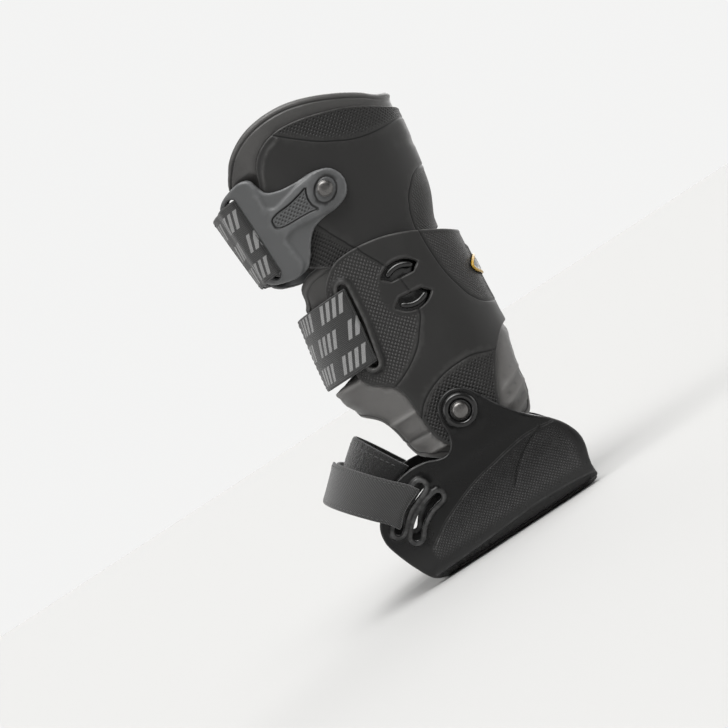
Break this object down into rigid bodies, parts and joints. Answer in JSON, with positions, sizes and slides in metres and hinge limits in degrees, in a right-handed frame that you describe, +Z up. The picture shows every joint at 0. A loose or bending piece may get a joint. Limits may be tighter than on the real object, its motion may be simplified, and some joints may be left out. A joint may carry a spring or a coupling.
{
  "type": "ankle foot orthosis",
  "caption": "Hinged ankle foot orthosis: a heel stirrup with an instep strap, a padded ankle cuff on side rivets, and a padded calf cuff with strap arms.",
  "frame": {"origin": "on the sole's flat face, straight under the ankle hinge axis and midway between the two cheeks", "axes": "+Z up the shin, -X towards the toes, -Y the outer side that holds the strap closures, hinge axis along Y"},
  "size_m": [0.1536, 0.112, 0.2608],
  "materials": {
    "stirrup_plastic": "glossy black moulded plastic with dimpled panels",
    "cuff_plastic": "satin charcoal moulded plastic with dimpled panels",
    "arm_plastic": "satin dark grey moulded plastic",
    "hub_plastic": "glossy black moulded plastic",
    "plate_plastic": "plain satin plate with an ochre ring",
    "grip_rubber": "matt textured rubber",
    "liner_foam": "satin skin on moulded foam",
    "printed_elastic": "flat elastic webbing with a light grey print",
    "instep_webbing": "fine knitted webbing",
    "loop_fabric": "brushed black loop fabric",
    "rivet_metal": "dark nickel, satin"
  },
  "bodies": {
    "foot": {"heel_stirrup_shell": "stirrup_plastic", "sole_grip_pad": "grip_rubber", "footbed_pad": "liner_foam", "instep_strap": "instep_webbing", "instep_tongue": "loop_fabric", "hinge_bushing_left": "hub_plastic", "hinge_bushing_right": "hub_plastic", "hinge_rivet_left": "rivet_metal", "hinge_rivet_right": "rivet_metal", "hinge_washer_left": "rivet_metal", "hinge_washer_right": "rivet_metal"},
    "ankle_cuff": {"ankle_cuff_shell": "cuff_plastic", "ankle_cuff_liner": "liner_foam", "ankle_cuff_back_plate": "plate_plastic", "ankle_strap": "printed_elastic"},
    "calf_cuff": {"calf_cuff_shell": "cuff_plastic", "calf_cuff_liner": "liner_foam", "lock_hub_left": "hub_plastic", "lock_hub_right": "hub_plastic", "arm_rivet_left": "rivet_metal", "arm_rivet_right": "rivet_metal"},
    "strap_arms": {"strap_arm_left": "arm_plastic", "strap_arm_right": "arm_plastic", "arm_inlay_left": "grip_rubber", "arm_inlay_right": "grip_rubber", "calf_strap": "printed_elastic"},
    "calf_tab": {"calf_strap_tab": "printed_elastic"},
    "ankle_tab": {"ankle_strap_tab": "printed_elastic"},
    "instep_tab": {"instep_strap_tab": "instep_webbing"}
  },
  "joints": [
    {"name": "ankle_hinge", "type": "hinge", "parent": "foot", "child": "ankle_cuff", "pos_m": [0, 0, 0.073], "axis": [0, 1, 0], "range_deg": [-15, 35]},
    {"name": "calf_cuff_pivot", "type": "hinge", "parent": "ankle_cuff", "child": "calf_cuff", "pos_m": [0.0125, 0, 0.1442], "axis": [0, 1, 0], "range_deg": [-4, 4]},
    {"name": "strap_arm_pivot", "type": "hinge", "parent": "calf_cuff", "child": "strap_arms", "pos_m": [0.004, 0, 0.21], "axis": [0, 1, 0], "range_deg": [-6, 6]},
    {"name": "calf_strap_peel", "type": "hinge", "parent": "strap_arms", "child": "calf_tab", "pos_m": [-0.0453, -0.0388, 0.20925], "axis": [0, -0.0935, 0.9956], "range_deg": [0, 95]},
    {"name": "ankle_strap_peel", "type": "hinge", "parent": "ankle_cuff", "child": "ankle_tab", "pos_m": [-0.0257, -0.04518, 0.13965], "axis": [0.1482, -0.0087, 0.9889], "range_deg": [0, 95]},
    {"name": "instep_strap_peel", "type": "hinge", "parent": "foot", "child": "instep_tab", "pos_m": [-0.0538, -0.05, 0.0474], "axis": [0.8433, -0.109, 0.5262], "range_deg": [0, 80]}
  ]
}
